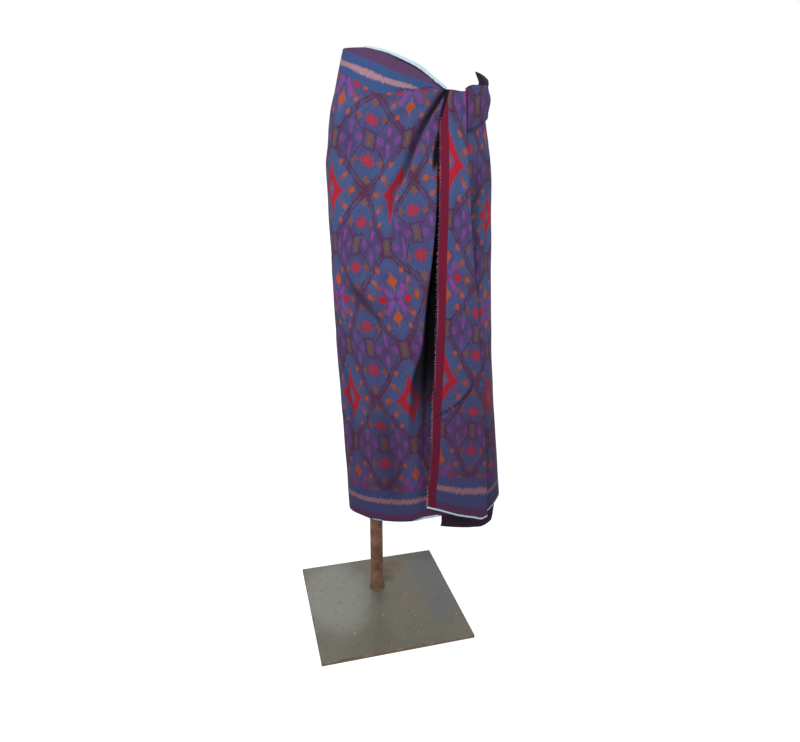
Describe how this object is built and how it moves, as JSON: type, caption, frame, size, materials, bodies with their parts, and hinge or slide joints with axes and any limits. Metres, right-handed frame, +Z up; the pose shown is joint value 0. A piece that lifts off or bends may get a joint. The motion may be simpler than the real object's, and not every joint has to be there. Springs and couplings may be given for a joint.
{
  "type": "longyi sarong on hip form stand",
  "caption": "Ikat cloth wound round a hip form, its turned-back end hanging in front, on a pole and square plate.",
  "frame": {"origin": "centre of the base plate's underside, on the floor", "axes": "+Z up, the front of the garment faces -Y, +X is the wearer's left"},
  "size_m": [0.4755, 0.36, 1.2712],
  "materials": {
    "ikat_cloth": "plain-woven cotton with a weft ikat pattern in blue, violet, plum, red and orange, slightly soft",
    "form_cover": "stretched grey-beige cotton jersey",
    "plate_iron": "grey-green mill scale with tan rust and chipped edges",
    "pole_iron": "dark brown rust",
    "collar_steel": "dull turned steel"
  },
  "bodies": {
    "root": {"base_plate": "plate_iron", "weld_bead": "pole_iron", "pole": "pole_iron", "pole_collar": "collar_steel", "hip_form": "form_cover", "under_layer": "ikat_cloth", "wrap_body": "ikat_cloth", "front_fall": "ikat_cloth", "tuck_flap": "ikat_cloth"}
  },
  "joints": []
}
